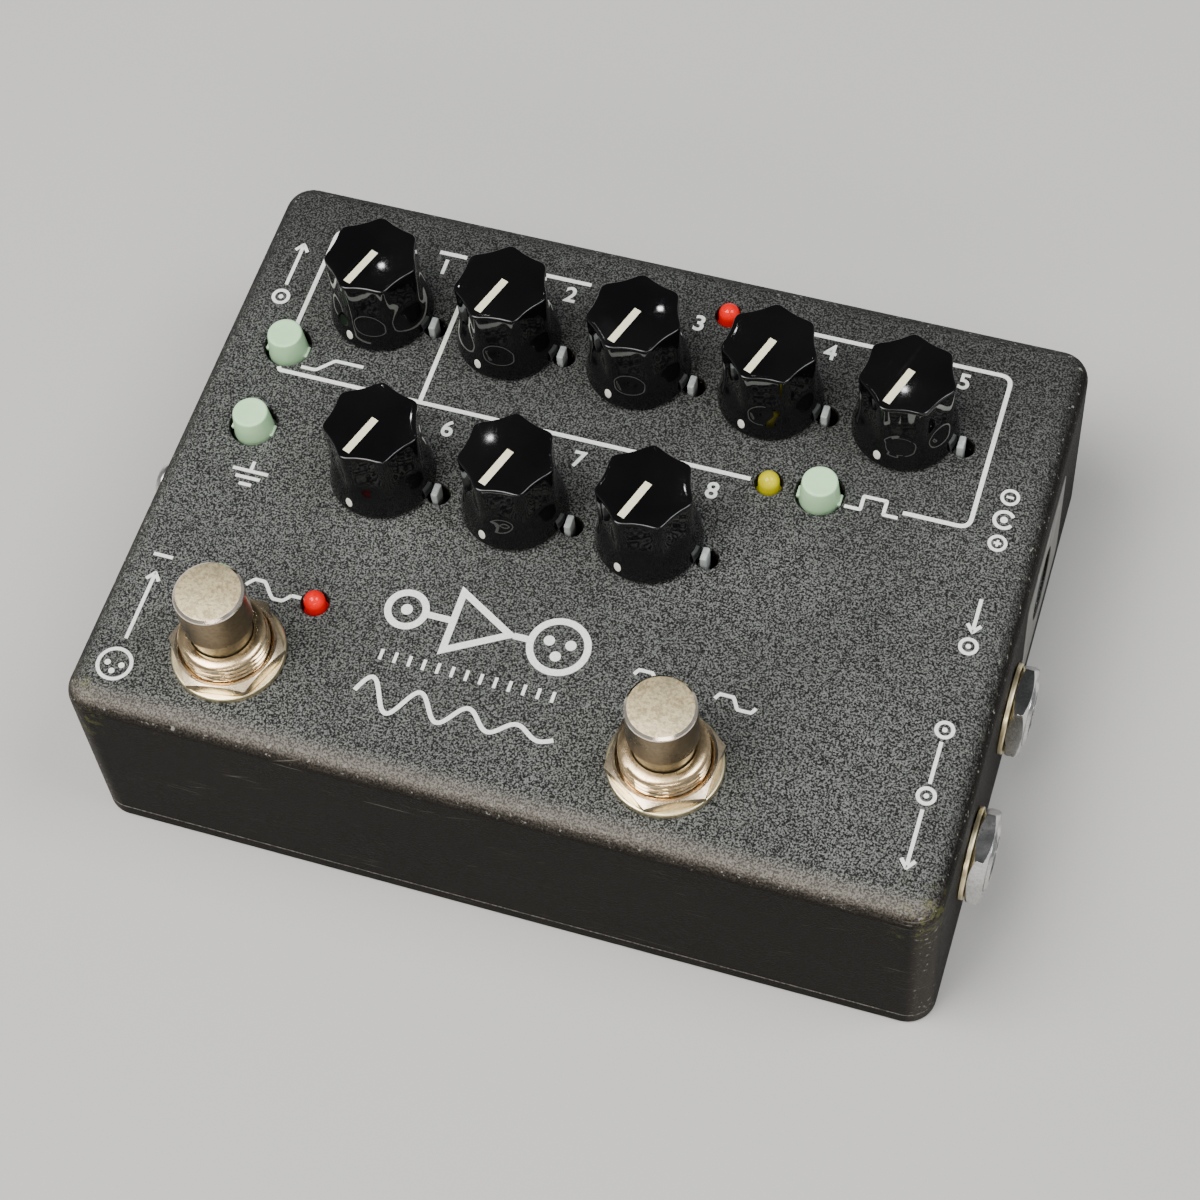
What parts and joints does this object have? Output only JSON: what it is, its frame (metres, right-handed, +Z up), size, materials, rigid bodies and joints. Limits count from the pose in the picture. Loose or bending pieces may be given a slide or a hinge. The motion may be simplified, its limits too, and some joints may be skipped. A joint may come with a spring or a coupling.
{
  "type": "direct injection box",
  "caption": "Floor-standing preamp box that turns an instrument signal into a balanced one, with knobs, push buttons, foot switches and sockets in its side walls.",
  "frame": {"origin": "centre of the base plate's underside, which is the face the box stands on", "axes": "+X to the player's right along the long side, +Y away from the player to the back edge, +Z up out of the control panel"},
  "size_m": [0.1276, 0.0914, 0.0494],
  "materials": {
    "black_powder_coat": "crinkle powder coat, dark charcoal with fine pale speckle, worn at the edges",
    "black_gloss": "polished black phenolic-style plastic",
    "black_plastic": "moulded, satin",
    "pot_metal": "stamped and plated",
    "shaft_metal": "turned",
    "zinc_screw": "dark plated",
    "chrome": "bright plated",
    "nickel": "warm nickel plate, slightly tarnished",
    "worn_nickel": "nickel rubbed dull by use",
    "mint": "translucent pale green, satin",
    "switch_grey": "moulded",
    "red_lamp": "tinted clear resin",
    "yellow_lamp": "tinted clear resin",
    "board_green": "glass-fibre board with solder mask",
    "battery_shell": "printed sheet-metal jacket, plain"
  },
  "bodies": {
    "housing": {"base_plate": "black_powder_coat", "base_screw_1": "zinc_screw", "base_screw_2": "zinc_screw", "base_screw_3": "zinc_screw", "base_screw_4": "zinc_screw", "battery": "battery_shell", "battery_snap": "black_plastic", "enclosure": "black_powder_coat", "foot_nut_left": "nickel", "foot_nut_right": "nickel", "foot_switch_left": "nickel", "foot_switch_right": "nickel", "foot_washer_left": "nickel", "foot_washer_right": "nickel", "jack_input": "chrome", "jack_nut_input": "chrome", "jack_nut_output": "chrome", "jack_nut_parallel_output": "chrome", "jack_output": "chrome", "jack_parallel_output": "chrome", "lamp_front_red": "red_lamp", "lamp_rear_red": "red_lamp", "lamp_yellow": "yellow_lamp", "main_board": "board_green", "pot_lower_1": "pot_metal", "pot_lower_2": "pot_metal", "pot_lower_3": "pot_metal", "pot_upper_1": "pot_metal", "pot_upper_2": "pot_metal", "pot_upper_3": "pot_metal", "pot_upper_4": "pot_metal", "pot_upper_5": "pot_metal", "power_socket": "black_plastic", "push_switch_lower_left": "switch_grey", "push_switch_right": "switch_grey", "push_switch_upper_left": "switch_grey", "xlr_screw_1": "chrome", "xlr_screw_2": "chrome", "xlr_socket": "black_plastic"},
    "knob_upper_1": {"knob_upper_1": "black_gloss", "shaft_upper_1": "shaft_metal"},
    "knob_upper_2": {"knob_upper_2": "black_gloss", "shaft_upper_2": "shaft_metal"},
    "knob_upper_3": {"knob_upper_3": "black_gloss", "shaft_upper_3": "shaft_metal"},
    "knob_upper_4": {"knob_upper_4": "black_gloss", "shaft_upper_4": "shaft_metal"},
    "knob_upper_5": {"knob_upper_5": "black_gloss", "shaft_upper_5": "shaft_metal"},
    "knob_lower_1": {"knob_lower_1": "black_gloss", "shaft_lower_1": "shaft_metal"},
    "knob_lower_2": {"knob_lower_2": "black_gloss", "shaft_lower_2": "shaft_metal"},
    "knob_lower_3": {"knob_lower_3": "black_gloss", "shaft_lower_3": "shaft_metal"},
    "button_upper_left": {"button_upper_left": "mint"},
    "button_lower_left": {"button_lower_left": "mint"},
    "button_right": {"button_right": "mint"},
    "foot_plunger_left": {"foot_plunger_left": "worn_nickel"},
    "foot_plunger_right": {"foot_plunger_right": "worn_nickel"}
  },
  "joints": [
    {"name": "turn_upper_1", "type": "hinge", "parent": "housing", "child": "knob_upper_1", "pos_m": [-0.0388, 0.0255, 0.0334], "axis": [0, 0, -1], "range_deg": [0, 300]},
    {"name": "turn_upper_2", "type": "hinge", "parent": "housing", "child": "knob_upper_2", "pos_m": [-0.01965, 0.0255, 0.0334], "axis": [0, 0, -1], "range_deg": [0, 300]},
    {"name": "turn_upper_3", "type": "hinge", "parent": "housing", "child": "knob_upper_3", "pos_m": [-0.0005, 0.0255, 0.0334], "axis": [0, 0, -1], "range_deg": [0, 300]},
    {"name": "turn_upper_4", "type": "hinge", "parent": "housing", "child": "knob_upper_4", "pos_m": [0.01865, 0.0255, 0.0334], "axis": [0, 0, -1], "range_deg": [0, 300]},
    {"name": "turn_upper_5", "type": "hinge", "parent": "housing", "child": "knob_upper_5", "pos_m": [0.0378, 0.0255, 0.0334], "axis": [0, 0, -1], "range_deg": [0, 300]},
    {"name": "turn_lower_1", "type": "hinge", "parent": "housing", "child": "knob_lower_1", "pos_m": [-0.02923, -0.0009, 0.0334], "axis": [0, 0, -1], "range_deg": [0, 300]},
    {"name": "turn_lower_2", "type": "hinge", "parent": "housing", "child": "knob_lower_2", "pos_m": [-0.01008, -0.0009, 0.0334], "axis": [0, 0, -1], "range_deg": [0, 300]},
    {"name": "turn_lower_3", "type": "hinge", "parent": "housing", "child": "knob_lower_3", "pos_m": [0.00907, -0.0009, 0.0334], "axis": [0, 0, -1], "range_deg": [0, 300]},
    {"name": "press_button_upper_left", "type": "slide", "parent": "housing", "child": "button_upper_left", "axis": [0, 0, -1], "range_m": [0, 0.002], "stiffness_N_per_m": 300, "springref_m": -0.002},
    {"name": "press_button_lower_left", "type": "slide", "parent": "housing", "child": "button_lower_left", "axis": [0, 0, -1], "range_m": [0, 0.002], "stiffness_N_per_m": 300, "springref_m": -0.002},
    {"name": "press_button_right", "type": "slide", "parent": "housing", "child": "button_right", "axis": [0, 0, -1], "range_m": [0, 0.002], "stiffness_N_per_m": 300, "springref_m": -0.002},
    {"name": "press_foot_left", "type": "slide", "parent": "housing", "child": "foot_plunger_left", "axis": [0, 0, -1], "range_m": [0, 0.0025], "stiffness_N_per_m": 3000, "springref_m": -0.003},
    {"name": "press_foot_right", "type": "slide", "parent": "housing", "child": "foot_plunger_right", "axis": [0, 0, -1], "range_m": [0, 0.0025], "stiffness_N_per_m": 3000, "springref_m": -0.003}
  ]
}
